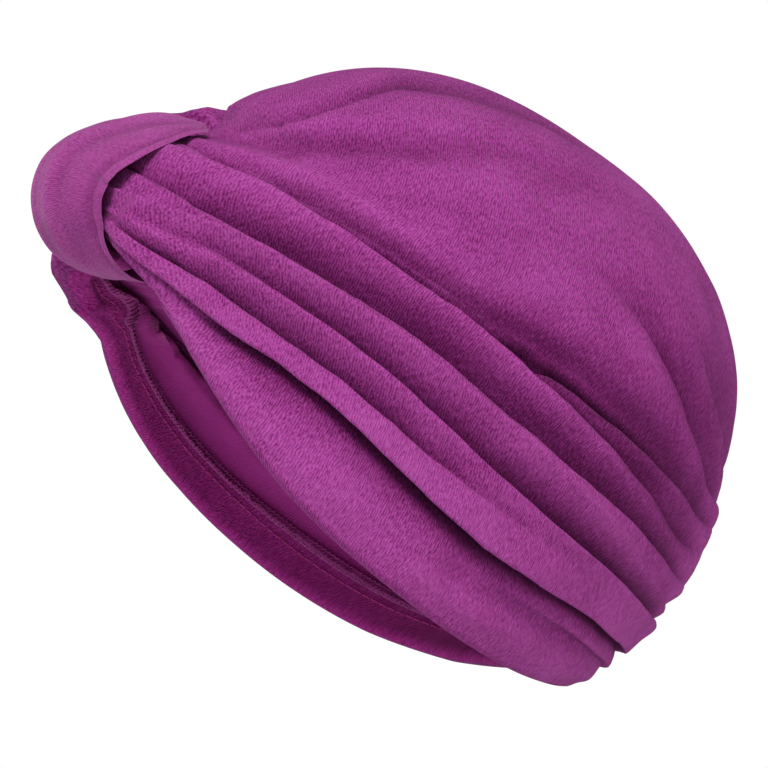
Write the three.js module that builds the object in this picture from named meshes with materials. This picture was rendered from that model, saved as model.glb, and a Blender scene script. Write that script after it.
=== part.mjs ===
// Soft terry turban cap, shown as it stands on a head, in millimetres.
// +Z is up, -Y is the wearer's front, +X the wearer's left. z = 0 is the mean height of the rim.
// Pieces: the gathered crown, the loop that holds its gathers at the front, and the overlocked seam of its turned-in hem.
import * as THREE from "three";

// ---------- main sizes ----------
const HALF_WIDTH = 86; // widest half width, outside the folds
const FRONT_LENGTH = 106; // centre to front, without the gathered bundle
const BACK_LENGTH = 93.5; // centre to back
const WIDEST_Z = 41; // height of the widest level
const DOME_HEIGHT = 98; // from there to the top
const LOWER_DEPTH = 53; // from there down to the level at which the draw-in below is measured
const PLAN_POWER = 2.05; // 2 is an ellipse
const DOME_POWER = 2.3;
const LEAN = -0.055; // shift of the middle for each millimetre of height
const DRAW_IN = { front: 0.05, back: 0.36, side: 0.04 }; // share by which the lower edge draws in
const RIM_Z = { side: -10, front: 26, back: 8 };
const WALL = 2.4; // cloth
const HEM = 5.0; // cloth turned in and doubled at the rim
const HEM_CALM = 0.75; // share by which the turned-in cloth lies smoother than the folds outside
const EASE = { low: -1.5, from: 0.15, to: 0.45 }; // mean cloth against the outline that the ridges reach; none at the smooth top
const EYE_Z = 28; // the side angles below are measured about this height

// ---------- bundle of gathers at the front ----------
const BUNDLE = { out: 22.5, halfWidth: 47, kept: 0.62 }; // kept: share of its depth that is packed cloth
const BUNDLE_ROWS = [
  { z: 12, share: 0 },
  { z: 18, share: 0.1 },
  { z: 20, share: 0.36 },
  { z: 23, share: 0.66 },
  { z: 26, share: 0.86 },
  { z: 30, share: 1 },
  { z: 36, share: 1.04 },
  { z: 46, share: 1.02 },
  { z: 54, share: 0.88 },
  { z: 60, share: 0.66 },
  { z: 65, share: 0.42 },
  { z: 70, share: 0.14 },
  { z: 75, share: 0 },
  { z: 78, share: 0.02 },
  { z: 83, share: 0.12 },
  { z: 90, share: 0.1 },
  { z: 100, share: 0 },
];

// the right side's gathers: the rim hangs out and down beside the loop (mm), over the part of the cloth below HANG_LINES
const HANG_ROWS = [
  { s: 0.089, out: 0, down: 0 },
  { s: 0.109, out: 5.9, down: 6.2 },
  { s: 0.125, out: 7.7, down: 7.4 },
  { s: 0.16, out: 6, down: 7 },
  { s: 0.19, out: 3, down: 3.5 },
  { s: 0.23, out: 0, down: 0 },
  { s: 0.3, out: 0, down: -0.8 },
  { s: 0.4, out: 0, down: -1.5 },
  { s: 0.48, out: 0, down: -1.3 },
  { s: 0.58, out: 0, down: 0 },
  { s: 0.65, out: 0, down: 1 },
  { s: 0.75, out: 0, down: 2.3 },
  { s: 0.85, out: 0, down: 2.5 },
  { s: 0.94, out: 0, down: 0 },
];
const HANG_LINES = { from: 0.88, to: 0.98 };
// and its cloth swells out behind the loop's top
const SWELL = { x: 38, halfWidth: 12, from: 24, to: 33 };
const SWELL_ROWS = [
  { z: 36, out: 0 },
  { z: 48, out: 4 },
  { z: 58, out: 11 },
  { z: 66, out: 18.5 },
  { z: 73, out: 21.5 },
  { z: 79, out: 17 },
  { z: 85, out: 7 },
  { z: 90, out: 1.5 },
  { z: 95, out: 0 },
];
// the folds run out at the middle of the back
const CALM = { height: 1.5, share: 0.85 };

// ---------- lines over the cap: t = 0 is the top middle, t = 1 the rim ----------
// front and back: height on the middle plane; side: angle from straight up at mid length
const LINE_ROWS = [
  { t: 0.0, front: 77, side: 0, back: 78 },
  { t: 0.2, front: 74, side: 30, back: 75 },
  { t: 0.4, front: 68, side: 58, back: 68 },
  { t: 0.5, front: 61, side: 69, back: 60 },
  { t: 0.6, front: 50, side: 78, back: 50 },
  { t: 0.75, front: 39, side: 89, back: 34 },
  { t: 0.9, front: 28, side: 104, back: 16 },
  { t: 1.0, front: 23, side: 116.5, back: 6 },
];

// ---------- folds: where each lies (t) and how high it stands (mm) at each station from front to back ----------
// up and down: its reach towards the top and towards the rim; point: 1 is a sharp crease, 2 a soft one
const STATIONS = [0, 0.1, 0.2, 0.4, 0.6, 0.8, 1];
const FOLD_ROWS = [
  { name: "top hollow", t: [0.33, 0.304, 0.13, 0.11, 0.1, 0.1, 0.1], h: [-0.3, -1.4, -2.4, -1.4, 0, 0, 0], up: 0.04, down: 0.03, point: 2 },
  { name: "top ridge", t: [0.36, 0.338, 0.278, 0.194, 0.17, 0.17, 0.17], h: [0.4, 1.2, 1.8, 1.3, 0, 0, 0], up: 0.02, down: 0.014, point: 1.5 },
  { name: "second hollow", t: [0.39, 0.365, 0.312, 0.206, 0.2, 0.2, 0.2], h: [-0.4, -1.4, -2.4, -1.2, 0, 0, 0], up: 0.03, down: 0.04, point: 2 },
  { name: "upper ridge", t: [0.475, 0.453, 0.434, 0.444, 0.44, 0.44, 0.44], h: [1, 2.4, 2.8, 1.6, 0.4, 0, 0], up: 0.025, down: 0.018, point: 1.6 },
  { name: "main crease", t: [0.49, 0.476, 0.47, 0.464, 0.428, 0.426, 0.44], h: [-0.8, -2.4, -4, -5.4, -8, -6.6, 0], up: 0.032, down: 0.016, point: 1.1 },
  { name: "second crease", t: [0.5, 0.484, 0.474, 0.466, 0.464, 0.488, 0.51], h: [0, 0, 0, 0, -5.4, -5, 0], up: 0.014, down: 0.014, point: 1.3 },
  { name: "first ridge", t: [0.55, 0.53, 0.501, 0.488, 0.508, 0.538, 0.575], h: [0.8, 1.8, 2.4, 2.4, 2.4, 2.2, 1], up: 0.014, down: 0.04, point: 1.6 },
  { name: "long hollow", t: [0.66, 0.63, 0.59, 0.552, 0.564, 0.567, 0.63], h: [-1.2, -3.2, -5.4, -7, -7.4, -6, -2], up: 0.05, down: 0.015, point: 1.5 },
  { name: "second ridge", t: [0.82, 0.766, 0.648, 0.611, 0.622, 0.662, 0.7], h: [1.2, 2, 2.2, 2, 2, 2.4, 2], up: 0.014, down: 0.035, point: 1.6 },
  { name: "soft hollow", t: [0.85, 0.81, 0.69, 0.664, 0.686, 0.692, 0.72], h: [0, -0.5, -2.2, -3.8, -4.8, -4.4, 0], up: 0.035, down: 0.03, point: 1.8 },
  { name: "third ridge", t: [0.89, 0.86, 0.758, 0.7, 0.735, 0.75, 0.765], h: [0.3, 0.6, 1.4, 1.4, 0.6, 1.6, 2.2], up: 0.02, down: 0.03, point: 1.8 },
  { name: "short crease", t: [0.92, 0.9, 0.808, 0.768, 0.78, 0.78, 0.79], h: [0, -1, -5.2, -4.4, -0.8, 0, 0], up: 0.035, down: 0.014, point: 1.2 },
  { name: "fourth ridge", t: [0.965, 0.955, 0.9, 0.834, 0.856, 0.828, 0.83], h: [0.8, 1.4, 1.8, 2, 2.2, 2.2, 1.2], up: 0.045, down: 0.012, point: 1.8 },
  { name: "low crease", t: [0.975, 0.968, 0.93, 0.862, 0.886, 0.85, 0.855], h: [-0.5, -1, -3.6, -6.6, -8.2, -7.6, -1.2], up: 0.012, down: 0.026, point: 1.15 },
  { name: "low lobe", t: [0.985, 0.985, 0.972, 0.962, 0.925, 0.885, 0.885], h: [0.4, 0.8, 2.2, 2.6, 1.8, 2.6, 2.6], up: 0.03, down: 0.05, point: 2 },
  { name: "low hollow", t: [0.985, 0.985, 0.975, 0.97, 0.94, 0.91, 0.91], h: [0, 0, 0, 0, -2, -3.2, -1.5], up: 0.02, down: 0.02, point: 1.7 },
  { name: "hem lobe", t: [0.99, 0.99, 0.985, 0.975, 0.965, 0.954, 0.95], h: [0, 0, 0, 0, 1.2, 1.2, 0.8], up: 0.03, down: 0.03, point: 2 },
  { name: "back ridge", t: [0.38, 0.38, 0.38, 0.38, 0.38, 0.396, 0.41], h: [0, 0, 0, 0, 1, 1.4, 1], up: 0.02, down: 0.03, point: 1.8 },
  { name: "back hollow", t: [0.3, 0.3, 0.3, 0.3, 0.31, 0.35, 0.37], h: [0, 0, 0, 0, -1.6, -4.8, -1], up: 0.03, down: 0.022, point: 1.6 },
  { name: "back upper ridge", t: [0.27, 0.27, 0.27, 0.27, 0.285, 0.318, 0.34], h: [0, 0, 0, 0, 0.6, 1.2, 0.8], up: 0.025, down: 0.02, point: 1.8 },
  { name: "back upper hollow", t: [0.2, 0.2, 0.2, 0.2, 0.25, 0.285, 0.3], h: [0, 0, 0, 0, 0, -2.8, -0.8], up: 0.03, down: 0.02, point: 1.7 },
  { name: "back top fall", t: [0.12, 0.12, 0.12, 0.12, 0.15, 0.24, 0.26], h: [0, 0, 0, 0, 0, -1.6, -1], up: 0.03, down: 0.03, point: 1.8 },
  { name: "back top swell", t: [0.1, 0.1, 0.1, 0.1, 0.1, 0.14, 0.15], h: [0, 0, 0, 0, 0.9, 0.9, 0], up: 0.05, down: 0.04, point: 2 },
];
// the cloth's rows follow these folds; steps: cells from the line before
const GRID_ROWS = [
  { name: "back hollow", steps: 5 },
  { name: "main crease", steps: 4 },
  { name: "first ridge", steps: 2 },
  { name: "long hollow", steps: 2 },
  { name: "second ridge", steps: 1 },
  { name: "soft hollow", steps: 2 },
  { name: "third ridge", steps: 1 },
  { name: "short crease", steps: 2 },
  { name: "fourth ridge", steps: 2 },
  { name: "low crease", steps: 1 },
  { name: "low end", steps: 3 },
];
const LOW_END = [0.985, 0.98, 0.96, 0.935, 0.935, 0.93, 0.93];
const COLUMNS = 32; // cells from front to back on one side

// ---------- hem: its upper edge (t) at each station, and the seam along it ----------
const HEM_TOP = [0.94, 0.955, 0.938, 0.935, 0.935, 0.932, 0.925];
const SEAM = { width: 2.6, thick: 2.0, sides: 8 };
const SEAM_GAP = [2.4, 3.8, 1.6, 0.6, 0.6, 0.6, 0.6]; // at each station; larger where the bundle's folds pass

// ---------- loop round the bundle: outer line on the middle plane, from its end inside to its end on top ----------
const LOOP_ROWS = [
  { y: -94.9, z: 43, half: 17, thick: 2.2, curl: -3 },
  { y: -94.9, z: 34, half: 19, thick: 2.2, curl: -3.4 },
  { y: -96.2, z: 25.6, half: 20, thick: 2.2, curl: -3 },
  { y: -102, z: 19.2, half: 21.5, thick: 2, curl: -0.2 },
  { y: -110.5, z: 15.6, half: 23, thick: 2.2, curl: 4 },
  { y: -120.5, z: 14.8, half: 24, thick: 2.8, curl: 9.4 },
  { y: -129.8, z: 18.4, half: 25, thick: 3.2, curl: 11 },
  { y: -136.6, z: 25.6, half: 25.5, thick: 3.2, curl: 11.5 },
  { y: -139.8, z: 35.2, half: 25.5, thick: 3.2, curl: 12.2 },
  { y: -138.2, z: 43.9, half: 25.5, thick: 3.2, curl: 11.6 },
  { y: -133.5, z: 52, half: 25, thick: 3.2, curl: 10 },
  { y: -128, z: 59, half: 24, thick: 3, curl: 8.2 },
  { y: -121, z: 65.3, half: 21.5, thick: 2.8, curl: 5.6 },
  { y: -113.6, z: 69.8, half: 18, thick: 2.4, curl: 2.8 },
  { y: -110.6, z: 71.5, half: 14.5, thick: 2.2, curl: 2.4 },
];
const LOOP_ACROSS = 7; // cells across its half width, twice

// ---------- tables ----------
function between(rows, at, key, value) {
  let i = 0;
  while (i < rows.length - 2 && value > rows[i + 1][at]) i++;
  const a = rows[i], b = rows[i + 1];
  const f = THREE.MathUtils.clamp((value - a[at]) / (b[at] - a[at]), 0, 1);
  return a[key] + (b[key] - a[key]) * f;
}
// smooth line through the station values
function along(values, s) {
  let i = 0;
  while (i < STATIONS.length - 2 && s > STATIONS[i + 1]) i++;
  const h = STATIONS[i + 1] - STATIONS[i], f = (s - STATIONS[i]) / h;
  const slope = (k) => {
    if (k <= 0 || k >= STATIONS.length - 1) return 0;
    const l = (values[k] - values[k - 1]) / (STATIONS[k] - STATIONS[k - 1]);
    const r = (values[k + 1] - values[k]) / (STATIONS[k + 1] - STATIONS[k]);
    return l * r <= 0 ? 0 : (2 * l * r) / (l + r);
  };
  const f2 = f * f, f3 = f2 * f;
  return (2 * f3 - 3 * f2 + 1) * values[i] + (f3 - 2 * f2 + f) * h * slope(i) + (3 * f2 - 2 * f3) * values[i + 1] + (f3 - f2) * h * slope(i + 1);
}

// ---------- the cap's outline surface: below 1 is inside ----------
function bundle(x, z) {
  return BUNDLE.out * Math.exp(-(Math.abs(x / BUNDLE.halfWidth) ** 3)) * between(BUNDLE_ROWS, "z", "share", z);
}
function level(x, y, z) {
  if (y < 0) y = Math.min(y + bundle(x, z), 0);
  const above = Math.max(z - WIDEST_Z, 0), below = Math.max(WIDEST_Z - z, 0) / LOWER_DEPTH;
  const yc = y - LEAN * above;
  const ax = Math.abs(x) / HALF_WIDTH, ay = Math.abs(yc) / (yc < 0 ? FRONT_LENGTH : BACK_LENGTH);
  const plan = (ax ** PLAN_POWER + ay ** PLAN_POWER) ** (1 / PLAN_POWER);
  const lengthwise = (ay / (ax + ay + 1e-9)) ** 2;
  const drawn = (yc < 0 ? DRAW_IN.front : DRAW_IN.back) * lengthwise + DRAW_IN.side * (1 - lengthwise);
  return (plan / (1 - drawn * below * below)) ** DOME_POWER + (above / DOME_HEIGHT) ** DOME_POWER;
}
// the point where a ray from inside meets the surface
function reach(from, dir, most = 260) {
  let lo = 0, hi = most;
  for (let k = 0; k < 36; k++) {
    const m = (lo + hi) / 2;
    if (level(from.x + m * dir.x, from.y + m * dir.y, from.z + m * dir.z) < 1) lo = m;
    else hi = m;
  }
  return from.clone().addScaledVector(dir, lo);
}
function rimHeight(x, y) {
  const c = -y / Math.hypot(x, y);
  return RIM_Z.side * (1 - c * c) + (c > 0 ? RIM_Z.front : RIM_Z.back) * c ** 4;
}
const planes = new Map();
function planeOf(t) {
  const key = t.toFixed(6);
  if (!planes.has(key)) {
    const zf = between(LINE_ROWS, "t", "front", t), zb = between(LINE_ROWS, "t", "back", t);
    const side = THREE.MathUtils.degToRad(between(LINE_ROWS, "t", "side", t));
    const a = reach(new THREE.Vector3(0, 0, zf), new THREE.Vector3(0, -1, 0));
    const b = reach(new THREE.Vector3(0, 0, zb), new THREE.Vector3(0, 1, 0));
    const m = reach(new THREE.Vector3(0, 0, EYE_Z), new THREE.Vector3(Math.sin(side), 0, Math.cos(side)));
    const mid = a.clone().add(b).multiplyScalar(0.5), e1 = b.clone().sub(a).normalize();
    const e2 = m.sub(mid);
    e2.addScaledVector(e1, -e2.dot(e1)).normalize();
    planes.set(key, { mid, e1, e2 });
  }
  return planes.get(key);
}
function cut(s, t) {
  const p = planeOf(t), a = Math.PI * s;
  return reach(p.mid, p.e1.clone().multiplyScalar(-Math.cos(a)).addScaledVector(p.e2, Math.sin(a)));
}
// the surface point of (s, t) on the +X side; the lowest lines bend to follow the rim
function base(s, t) {
  const p = cut(s, t);
  if (t <= 0.4) return p;
  const low = cut(s, 1), w = ((t - 0.4) / 0.6) ** 3;
  const z = p.z + w * (rimHeight(low.x, low.y) - low.z);
  return reach(new THREE.Vector3(0, 0, z), new THREE.Vector3(p.x, p.y, 0).normalize());
}
function normalAt(p) {
  const e = 0.4;
  return new THREE.Vector3(
    level(p.x + e, p.y, p.z) - level(p.x - e, p.y, p.z),
    level(p.x, p.y + e, p.z) - level(p.x, p.y - e, p.z),
    level(p.x, p.y, p.z + e) - level(p.x, p.y, p.z - e),
  ).normalize();
}

// ---------- folds ----------
const bump = (x, point) => Math.exp(-(Math.abs(x) ** point));
const ease = (t) => EASE.low * THREE.MathUtils.smoothstep(t, EASE.from, EASE.to);
function foldHeight(s, t, side) {
  const far = side < 0 ? Math.sin(Math.PI * s) : 0; // the two sides differ a little
  const at = t + far * 0.012 * Math.sin(7 * s + 1) * Math.sin(Math.PI * t);
  let h = ease(t);
  for (const f of FOLD_ROWS) {
    const d = at - along(f.t, s);
    h += along(f.h, s) * (1 - 0.12 * far) * bump(d / (d < 0 ? f.up : f.down), f.point);
  }
  const smooth = THREE.MathUtils.smoothstep;
  const still = CALM.share * smooth(s, 0.82, 0.92) * smooth(t, 0.3, 0.42) * (1 - smooth(t, 0.63, 0.67));
  return h + (CALM.height - h) * still;
}
// share of the hem at (s, t): 0 above it, 1 in it
const hemShare = (s, t) => THREE.MathUtils.smoothstep(t, along(HEM_TOP, s) - 0.014, along(HEM_TOP, s) + 0.01);
// layer 0 is the outside, layer 1 the inside, where the hem lies smoother than the folds; above: distance off the inside face
function clothPoint(s, t, side, layer, above = 0) {
  const p = base(s, t), n = normalAt(p), fold = foldHeight(s, t, side), hem = hemShare(s, t);
  const height = layer ? fold + (ease(t) - fold) * HEM_CALM * hem - (WALL + (HEM - WALL) * hem) - above : fold;
  p.addScaledVector(n, height);
  if (layer && p.y < 0) p.y += BUNDLE.kept * bundle(p.x, p.z);
  if (side < 0) {
    const low = THREE.MathUtils.smoothstep(t, HANG_LINES.from, HANG_LINES.to);
    const swell = p.y < 0 ? between(SWELL_ROWS, "z", "out", p.z) * Math.exp(-(((p.x - SWELL.x) / SWELL.halfWidth) ** 2)) * THREE.MathUtils.smoothstep(p.x, SWELL.from, SWELL.to) : 0;
    p.set(-p.x, p.y - low * between(HANG_ROWS, "s", "out", s) - swell, p.z - low * between(HANG_ROWS, "s", "down", s));
  }
  return p;
}

// ---------- mesh helpers ----------
function meshOf(name, points, faces, material) {
  const g = new THREE.BufferGeometry();
  g.setAttribute("position", new THREE.Float32BufferAttribute(points.flatMap((p) => [p.x, p.y, p.z]), 3));
  g.setIndex(faces.flat());
  g.computeVertexNormals();
  const m = new THREE.Mesh(g, material);
  m.name = name;
  return m;
}
// closed shell from rings of points that all have the same count; each ring is a closed section
function ringSolid(name, rings, closed, material, flip) {
  const n = rings[0].length, points = rings.flat(), faces = [];
  const quads = closed ? rings.length : rings.length - 1;
  for (let i = 0; i < quads; i++)
    for (let j = 0; j < n; j++) {
      const a = i * n + j, b = i * n + ((j + 1) % n), c = ((i + 1) % rings.length) * n + j, d = ((i + 1) % rings.length) * n + ((j + 1) % n);
      faces.push([a, c, b], [b, c, d]);
    }
  if (!closed)
    for (const [start, back] of [[0, false], [(rings.length - 1) * n, true]])
      for (let j = 0; j < n / 2 - 1; j++) {
        const a = start + j, b = start + j + 1, c = start + n - 1 - j, d = start + n - 2 - j;
        const two = [[a, b, c], [b, d, c]];
        faces.push(...(back ? two.map((f) => [f[0], f[2], f[1]]) : two));
      }
  return meshOf(name, points, flip ? faces.map((f) => [f[0], f[2], f[1]]) : faces, material);
}

// ---------- materials ----------
const terry = new THREE.MeshStandardMaterial({ color: 0x93408a, roughness: 0.96, metalness: 0 });
const loopTerry = new THREE.MeshStandardMaterial({ color: 0x9a4690, roughness: 0.96, metalness: 0 });
const thread = new THREE.MeshStandardMaterial({ color: 0x86105c, roughness: 0.8, metalness: 0 });

// ---------- crown: one gathered cloth, its rim turned in ----------
const foldNamed = (name) => FOLD_ROWS.find((f) => f.name === name);
function rowLines(s) {
  const ts = [0];
  for (const r of GRID_ROWS) {
    const to = along(r.name === "low end" ? LOW_END : foldNamed(r.name).t, s), from = ts[ts.length - 1];
    for (let k = 1; k <= r.steps; k++) ts.push(from + ((to - from) * k) / r.steps);
  }
  const from = ts[ts.length - 1];
  for (let k = 1; k <= 2; k++) ts.push(from + ((1 - from) * k) / 2);
  return ts;
}
const stationOf = (i) => i / COLUMNS - 0.05 * Math.sin((2 * Math.PI * i) / COLUMNS);
function crown() {
  const points = [], faces = [], index = new Map();
  const rows = rowLines(0).length - 1;
  // layer 0 outside, 1 inside, 2 the bottom of the rolled rim
  const id = (layer, side, i, j) => {
    const s = side < 0 && (i === 0 || i === COLUMNS || (j === 0 && layer < 2)) ? 1 : side;
    const key = layer + "," + s + "," + i + "," + j;
    if (!index.has(key)) {
      const at = stationOf(i);
      let p;
      if (layer < 2) {
        p = clothPoint(at, rowLines(at)[j], s, layer);
      } else {
        const a = clothPoint(at, 1, s, 0), b = clothPoint(at, 1, s, 1);
        p = a.lerp(b, 0.5);
        p.z -= HEM * 0.45;
      }
      index.set(key, points.length);
      points.push(p);
    }
    return index.get(key);
  };
  const quad = (a, b, c, d, turn) => {
    const two = [[a, b, c], [b, d, c]];
    faces.push(...(turn ? two.map((f) => [f[0], f[2], f[1]]) : two));
  };
  for (const side of [1, -1])
    for (let i = 0; i < COLUMNS; i++) {
      for (let j = 0; j < rows; j++) {
        quad(id(0, side, i, j), id(0, side, i, j + 1), id(0, side, i + 1, j), id(0, side, i + 1, j + 1), side < 0);
        quad(id(1, side, i, j), id(1, side, i, j + 1), id(1, side, i + 1, j), id(1, side, i + 1, j + 1), side > 0);
      }
      quad(id(0, side, i, rows), id(2, side, i, rows), id(0, side, i + 1, rows), id(2, side, i + 1, rows), side < 0);
      quad(id(2, side, i, rows), id(1, side, i, rows), id(2, side, i + 1, rows), id(1, side, i + 1, rows), side < 0);
    }
  return meshOf("crown", points, faces, terry);
}

// a point above the crown's inside face, between two of its rows
function insideFace(s, t, side, above) {
  const ts = rowLines(s);
  let j = 0;
  while (j < ts.length - 2 && t > ts[j + 1]) j++;
  const a = clothPoint(s, ts[j], side, 1, above), b = clothPoint(s, ts[j + 1], side, 1, above);
  return a.lerp(b, (t - ts[j]) / (ts[j + 1] - ts[j]));
}

// ---------- seam along the hem's upper edge: a flat thread ridge, all round the inside ----------
function seam() {
  const rings = [], around = [];
  for (let i = 0; i < COLUMNS; i++) around.push([stationOf(i), 1]);
  for (let i = COLUMNS; i > 0; i--) around.push([stationOf(i), -1]);
  for (const [s, side] of around) {
    const t = along(HEM_TOP, s) + 0.004;
    const p = insideFace(s, t, side, 0), q = insideFace(s, t, side, SEAM.thick);
    const inward = q.clone().sub(p).normalize();
    const up = new THREE.Vector3(0, 0, 1).addScaledVector(inward, -inward.z).normalize();
    const ring = [];
    for (let k = 0; k < SEAM.sides; k++) {
      const a = (2 * Math.PI * (k + 0.5)) / SEAM.sides;
      ring.push(p.clone().addScaledVector(inward, along(SEAM_GAP, s) + SEAM.thick / 2 - (Math.cos(a) * SEAM.thick) / 2).addScaledVector(up, (-Math.sin(a) * SEAM.width) / 2));
    }
    rings.push(ring);
  }
  return ringSolid("hem_seam", rings, true, thread, true);
}

// ---------- loop: a soft band over the bundle, its edges curled back ----------
function loop() {
  const line = new THREE.CatmullRomCurve3(LOOP_ROWS.map((r) => new THREE.Vector3(0, r.y, r.z)), false, "centripetal");
  const count = (LOOP_ROWS.length - 1) * 2, rings = [];
  for (let i = 0; i <= count; i++) {
    const k = (i / count) * (LOOP_ROWS.length - 1), a = LOOP_ROWS[Math.floor(k)], b = LOOP_ROWS[Math.min(Math.floor(k) + 1, LOOP_ROWS.length - 1)], f = k - Math.floor(k);
    const mix = (key) => a[key] + (b[key] - a[key]) * f;
    const at = line.getPoint(k / (LOOP_ROWS.length - 1)), tangent = line.getTangent(k / (LOOP_ROWS.length - 1));
    const inward = new THREE.Vector3(0, tangent.z, -tangent.y).normalize(); // towards the bundle
    const half = mix("half"), thick = mix("thick"), curl = mix("curl"), section = [];
    const place = (x, depth) => {
      const u = x / half;
      const p = at.clone().addScaledVector(inward, depth + curl * u * u);
      p.x = x;
      return p;
    };
    for (let m = -LOOP_ACROSS; m <= LOOP_ACROSS; m++) {
      const u = m / LOOP_ACROSS;
      section.push(place(half * u, thick * 0.5 * Math.abs(u) ** 6));
    }
    for (let m = LOOP_ACROSS; m >= -LOOP_ACROSS; m--) {
      const u = m / LOOP_ACROSS;
      section.push(place(half * u * 0.985, thick * (1 - 0.4 * Math.abs(u) ** 6)));
    }
    rings.push(section);
  }
  return ringSolid("front_loop", rings, false, loopTerry, true);
}

const cap = new THREE.Group();
cap.add(crown(), seam(), loop());
export default cap;
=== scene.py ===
import math

import bpy
import numpy as np
from mathutils import Matrix, Vector


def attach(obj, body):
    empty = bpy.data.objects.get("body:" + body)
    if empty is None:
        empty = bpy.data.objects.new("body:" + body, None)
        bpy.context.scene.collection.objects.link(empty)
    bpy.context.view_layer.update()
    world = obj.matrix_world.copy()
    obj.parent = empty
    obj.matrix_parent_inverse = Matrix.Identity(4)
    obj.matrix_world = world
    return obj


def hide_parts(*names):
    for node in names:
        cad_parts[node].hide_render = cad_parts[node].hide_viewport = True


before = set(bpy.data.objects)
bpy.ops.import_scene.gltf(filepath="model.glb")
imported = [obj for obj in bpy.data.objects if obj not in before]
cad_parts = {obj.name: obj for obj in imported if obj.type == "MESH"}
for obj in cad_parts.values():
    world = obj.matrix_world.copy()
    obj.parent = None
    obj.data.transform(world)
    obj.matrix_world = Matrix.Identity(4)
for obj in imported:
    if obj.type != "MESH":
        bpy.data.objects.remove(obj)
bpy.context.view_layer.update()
MM = 0.001

# ---------- camera ----------
AZIMUTH, ELEVATION, ROLL = math.radians(74), math.radians(-8.735), math.radians(36.3)
back = Vector((math.sin(AZIMUTH) * math.cos(ELEVATION), -math.cos(AZIMUTH) * math.cos(ELEVATION), math.sin(ELEVATION)))
right0 = Vector((math.cos(AZIMUTH), math.sin(AZIMUTH), 0))
up0 = back.cross(right0)
right = math.cos(ROLL) * right0 + math.sin(ROLL) * up0
up = -math.sin(ROLL) * right0 + math.cos(ROLL) * up0
camera = bpy.data.objects.new("camera", bpy.data.cameras.new("camera"))
bpy.context.scene.collection.objects.link(camera)
camera.data.sensor_width, camera.data.lens = 36, 218.69
camera.data.clip_start, camera.data.clip_end = 0.05, 20
turn = Matrix((right, up, back)).transposed().to_4x4()
camera.matrix_world = Matrix.Translation((1.33127, -0.39818, -0.16757)) @ turn
bpy.context.scene.camera = camera

# ---------- main sizes, as in the frame ----------
HALF_WIDTH, FRONT_LENGTH, BACK_LENGTH = 86, 106, 93.5
WIDEST_Z, DOME_HEIGHT, LOWER_DEPTH = 41, 98, 53
PLAN_POWER, DOME_POWER, LEAN = 2.05, 2.3, -0.055
DRAW_IN = {"front": 0.05, "back": 0.36, "side": 0.04}
RIM_Z = {"side": -10, "front": 26, "back": 8}
WALL, HEM, HEM_CALM, EYE_Z = 2.4, 5.0, 0.75, 28
EASE = {"low": -1.5, "from": 0.15, "to": 0.45}
BUNDLE = {"out": 22.5, "half_width": 47, "kept": 0.62}
BUNDLE_ROWS = {  # height: share of the bundle's depth
    12: 0.0, 18: 0.1, 20: 0.36, 23: 0.66, 26: 0.86, 30: 1.0, 36: 1.04, 46: 1.02, 54: 0.88, 60: 0.66, 65: 0.42, 70: 0.14, 75: 0.0, 78: 0.02, 83: 0.12, 90: 0.1, 100: 0.0,
}
LINE_ROWS = [  # t, height at the front, angle at the side, height at the back
    (0.0, 77, 0, 78), (0.2, 74, 30, 75), (0.4, 68, 58, 68), (0.5, 61, 69, 60), (0.6, 50, 78, 50), (0.75, 39, 89, 34), (0.9, 28, 104, 16), (1.0, 23, 116.5, 6),
]
STATIONS = np.array([0, 0.1, 0.2, 0.4, 0.6, 0.8, 1])
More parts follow.
